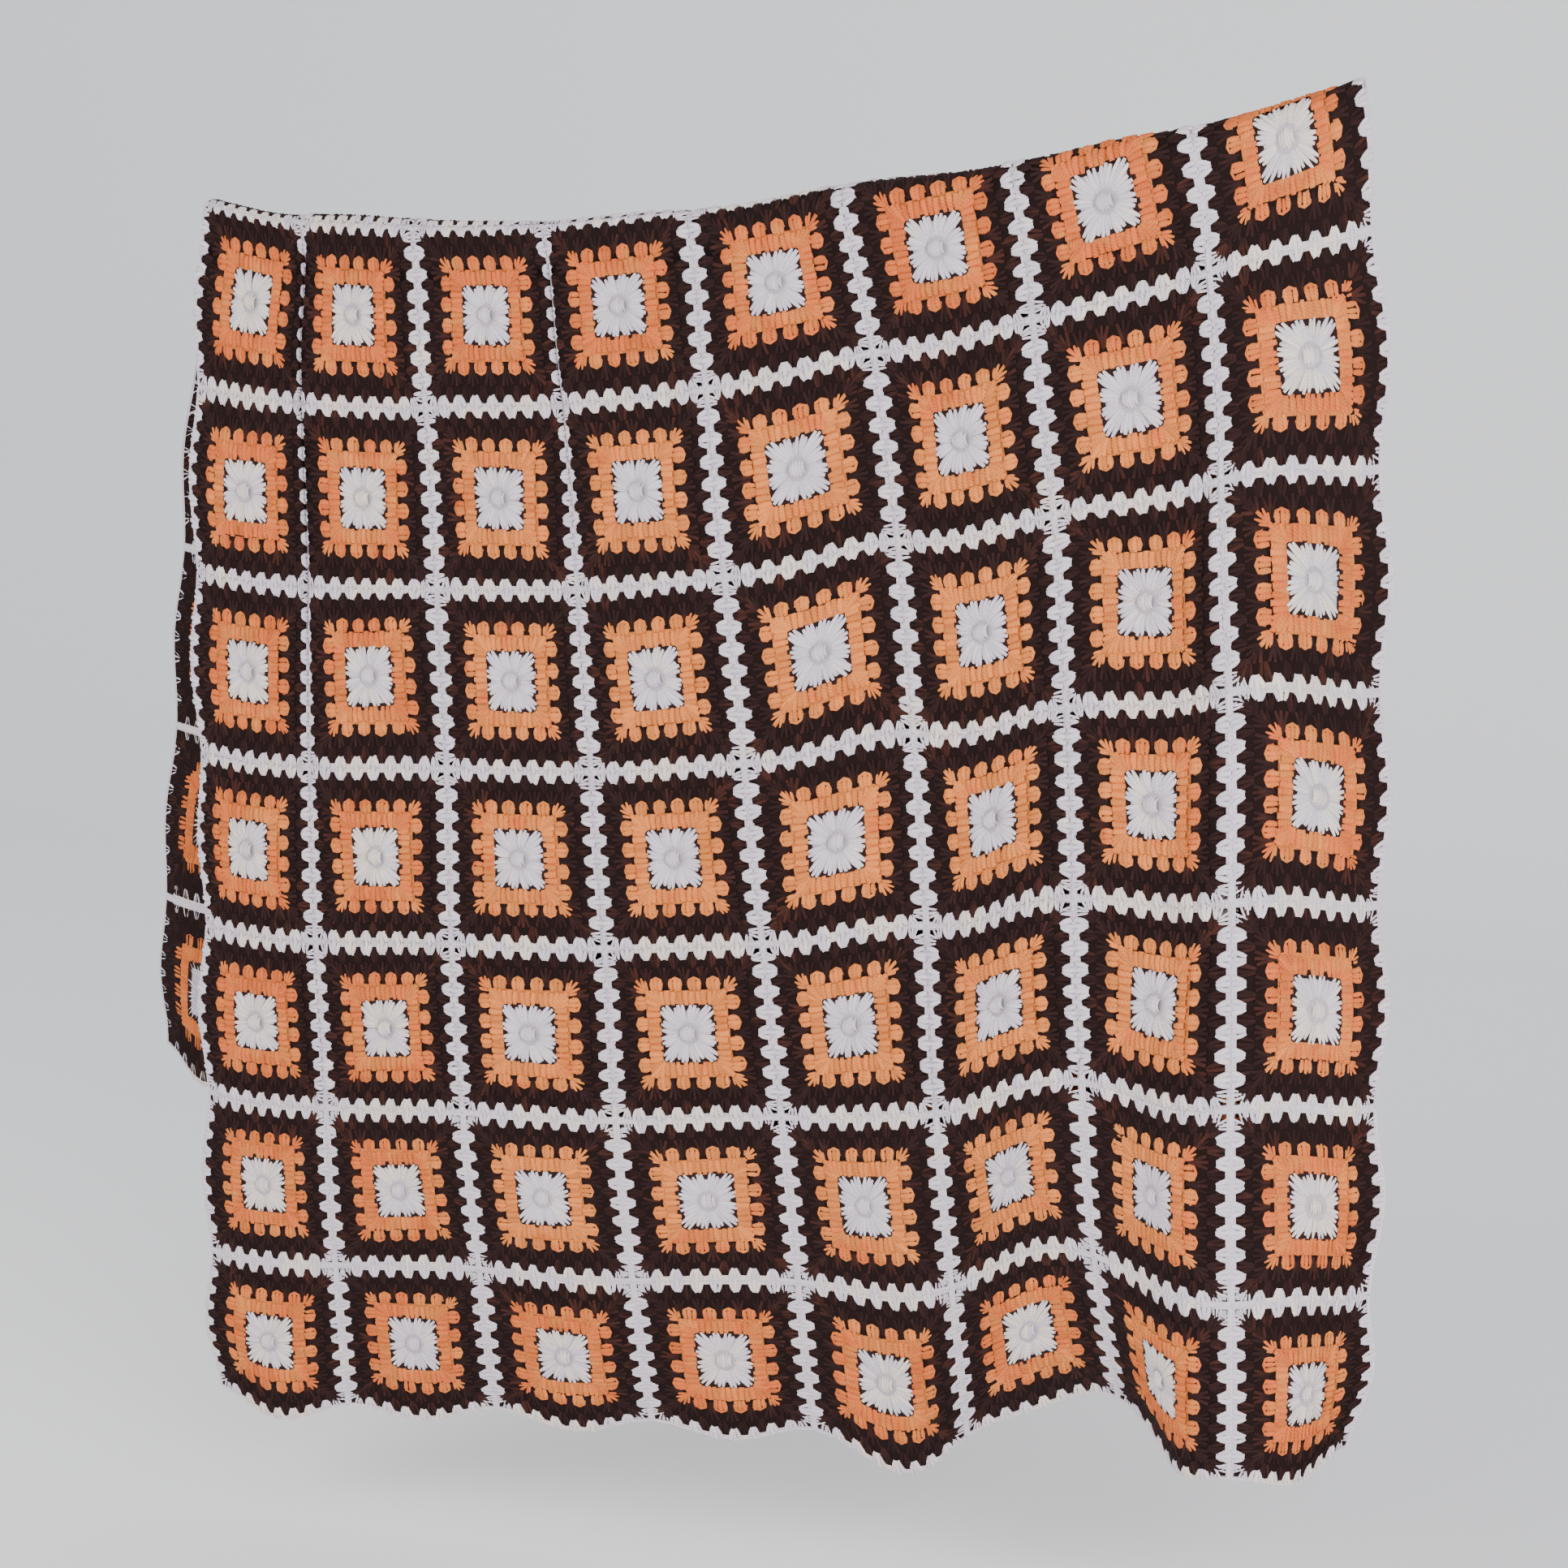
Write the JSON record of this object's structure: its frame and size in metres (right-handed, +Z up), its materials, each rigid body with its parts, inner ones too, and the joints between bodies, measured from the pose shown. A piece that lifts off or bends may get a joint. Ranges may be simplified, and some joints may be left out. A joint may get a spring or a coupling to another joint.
{
  "type": "granny square blanket",
  "caption": "Crocheted granny square blanket hung double over a line, with a long front flap, a shorter rear flap and soft folds.",
  "frame": {"origin": "crest of the fold that hangs over the line, halfway along it", "axes": "+X along the line to the right as seen from the front, +Y towards the rear flap, +Z up"},
  "size_m": [1.449, 0.2121, 1.3768],
  "materials": {
    "dark_yarn": "matt dark brown crochet yarn",
    "orange_yarn": "matt soft orange crochet yarn",
    "pale_yarn": "matt pale crochet yarn"
  },
  "bodies": {
    "root": {"blanket": "dark_yarn"}
  },
  "joints": []
}
